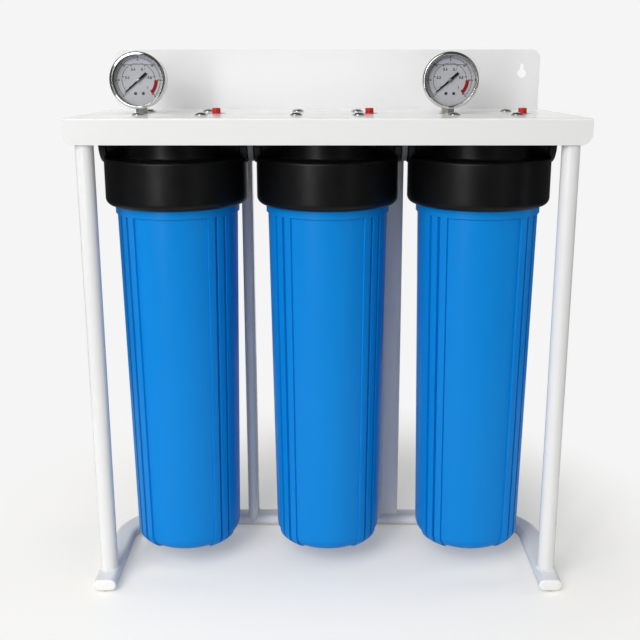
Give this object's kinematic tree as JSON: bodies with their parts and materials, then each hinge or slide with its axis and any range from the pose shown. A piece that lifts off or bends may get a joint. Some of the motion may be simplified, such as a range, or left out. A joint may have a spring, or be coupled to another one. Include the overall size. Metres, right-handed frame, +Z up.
{
  "type": "three-stage water filter",
  "caption": "Free-standing water filter: ribbed blue sumps under black heads on a folded white steel bracket, with pressure gauges, relief buttons and a tube base.",
  "frame": {"origin": "on the floor, under the middle of the part's box", "axes": "+Z up, the front with the gauges faces -Y, +X to the right seen from the front"},
  "size_m": [0.627, 0.228, 0.69],
  "materials": {
    "white_powder": "smooth semi-gloss white powder coat",
    "white_plastic": "white moulded plug",
    "clear_rubber": "soft translucent pad",
    "black_plastic": "satin black moulded plastic",
    "blue_plastic": "satin blue moulded plastic",
    "black_rubber": "matte black rubber",
    "grey_plastic": "dark grey moulded plastic",
    "filter_media": "white pleated and wound media with plain end caps",
    "red_plastic": "glossy red moulded plastic",
    "spring_steel": "plain spring wire",
    "steel": "zinc-plated and satin stainless steel",
    "polished_steel": "polished stainless steel",
    "brass": "plain brass",
    "dial_grey": "pale grey printed dial",
    "black_paint": "matte black paint",
    "clear_plastic": "clear moulded lens"
  },
  "bodies": {
    "frame_and_heads": {"bracket": "white_powder", "base_rail": "white_powder", "leg_left": "white_powder", "leg_right": "white_powder", "rear_post_left": "white_powder", "rear_post_right": "white_powder", "rail_plug_left": "white_plastic", "rail_plug_right": "white_plastic", "glide_front_left": "clear_rubber", "glide_front_right": "clear_rubber", "glide_rear_left": "clear_rubber", "glide_rear_right": "clear_rubber", "screw_1_front_left": "steel", "screw_1_front_right": "steel", "screw_1_rear_left": "steel", "screw_1_rear_right": "steel", "screw_2_front_left": "steel", "screw_2_front_right": "steel", "screw_2_rear_left": "steel", "screw_2_rear_right": "steel", "screw_3_front_left": "steel", "screw_3_front_right": "steel", "screw_3_rear_left": "steel", "screw_3_rear_right": "steel", "head_1": "black_plastic", "relief_spring_1": "spring_steel", "head_2": "black_plastic", "relief_spring_2": "spring_steel", "head_3": "black_plastic", "relief_spring_3": "spring_steel", "nipple_1_2": "grey_plastic", "nipple_2_3": "grey_plastic", "gauge_left_case": "steel", "gauge_left_bezel": "polished_steel", "gauge_left_lens": "clear_plastic", "gauge_left_dial": "dial_grey", "gauge_left_movement": "brass", "gauge_left_socket": "steel", "gauge_right_case": "steel", "gauge_right_bezel": "polished_steel", "gauge_right_lens": "clear_plastic", "gauge_right_dial": "dial_grey", "gauge_right_movement": "brass", "gauge_right_socket": "steel"},
    "stage_1_cartridge": {"cartridge_1": "filter_media"},
    "stage_1_sump": {"sump_1": "blue_plastic", "o_ring_1": "black_rubber"},
    "relief_1": {"relief_button_1": "red_plastic"},
    "stage_2_cartridge": {"cartridge_2": "filter_media"},
    "stage_2_sump": {"sump_2": "blue_plastic", "o_ring_2": "black_rubber"},
    "relief_2": {"relief_button_2": "red_plastic"},
    "stage_3_cartridge": {"cartridge_3": "filter_media"},
    "stage_3_sump": {"sump_3": "blue_plastic", "o_ring_3": "black_rubber"},
    "relief_3": {"relief_button_3": "red_plastic"},
    "pointer_left": {"gauge_left_pointer": "black_paint"},
    "pointer_right": {"gauge_right_pointer": "black_paint"}
  },
  "joints": [
    {"name": "sump_1_drop", "type": "slide", "parent": "frame_and_heads", "child": "stage_1_cartridge", "axis": [0, 0, -1], "range_m": [0, 0.0046]},
    {"name": "sump_1_turn", "type": "hinge", "parent": "stage_1_cartridge", "child": "stage_1_sump", "pos_m": [-0.196, 0.011, 0.3], "axis": [0, 0, -1], "range_deg": [0, 270]},
    {"name": "relief_1_press", "type": "slide", "parent": "frame_and_heads", "child": "relief_1", "axis": [0, 0, -1], "range_m": [0, 0.003], "stiffness_N_per_m": 400, "deforming": ["relief_spring_1"]},
    {"name": "sump_2_drop", "type": "slide", "parent": "frame_and_heads", "child": "stage_2_cartridge", "axis": [0, 0, -1], "range_m": [0, 0.0046]},
    {"name": "sump_2_turn", "type": "hinge", "parent": "stage_2_cartridge", "child": "stage_2_sump", "pos_m": [0, 0.011, 0.3], "axis": [0, 0, -1], "range_deg": [0, 270]},
    {"name": "relief_2_press", "type": "slide", "parent": "frame_and_heads", "child": "relief_2", "axis": [0, 0, -1], "range_m": [0, 0.003], "stiffness_N_per_m": 400, "deforming": ["relief_spring_2"]},
    {"name": "sump_3_drop", "type": "slide", "parent": "frame_and_heads", "child": "stage_3_cartridge", "axis": [0, 0, -1], "range_m": [0, 0.0046]},
    {"name": "sump_3_turn", "type": "hinge", "parent": "stage_3_cartridge", "child": "stage_3_sump", "pos_m": [0.196, 0.011, 0.3], "axis": [0, 0, -1], "range_deg": [0, 270]},
    {"name": "relief_3_press", "type": "slide", "parent": "frame_and_heads", "child": "relief_3", "axis": [0, 0, -1], "range_m": [0, 0.003], "stiffness_N_per_m": 400, "deforming": ["relief_spring_3"]},
    {"name": "pointer_left_sweep", "type": "hinge", "parent": "frame_and_heads", "child": "pointer_left", "pos_m": [-0.238, -0.0014, 0.652], "axis": [0, 1, 0], "range_deg": [0, 266], "stiffness_Nm_per_rad": 0.0005},
    {"name": "pointer_right_sweep", "type": "hinge", "parent": "frame_and_heads", "child": "pointer_right", "pos_m": [0.154, -0.0014, 0.652], "axis": [0, 1, 0], "range_deg": [0, 266], "stiffness_Nm_per_rad": 0.0005}
  ],
  "couplings": [
    {"joint": "sump_1_drop", "follows": "sump_1_turn", "m_per_rad": 0.00095493},
    {"joint": "sump_2_drop", "follows": "sump_2_turn", "m_per_rad": 0.00095493},
    {"joint": "sump_3_drop", "follows": "sump_3_turn", "m_per_rad": 0.00095493}
  ]
}
